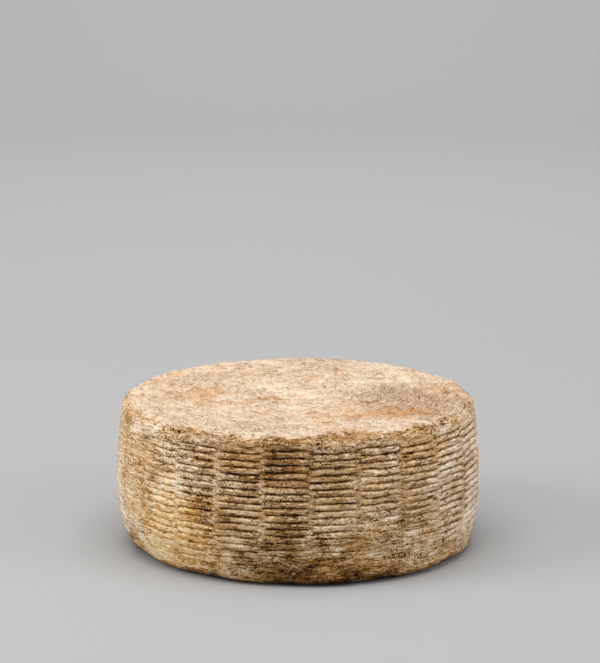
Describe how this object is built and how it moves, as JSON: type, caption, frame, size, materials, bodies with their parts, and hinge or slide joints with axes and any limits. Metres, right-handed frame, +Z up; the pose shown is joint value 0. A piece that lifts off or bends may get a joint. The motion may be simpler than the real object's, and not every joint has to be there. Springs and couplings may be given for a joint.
{
  "type": "whole tomme cheese wheel",
  "caption": "Low round drum of natural-rind cheese with basket-woven ribs round its wall, a slightly sunken wrinkled top face and a flat underside to stand on.",
  "frame": {"origin": "centre of the flat underside, at the middle of the bounding box", "axes": "+Z up along the wheel's axis, -Y towards the side that the picture shows, +X to the picture's right"},
  "size_m": [0.2198, 0.218, 0.091],
  "materials": {
    "rind": "dry natural cheese rind: matt and dusty, pale cream bloom over grey-brown and ochre"
  },
  "bodies": {
    "root": {"wheel": "rind"}
  },
  "joints": []
}
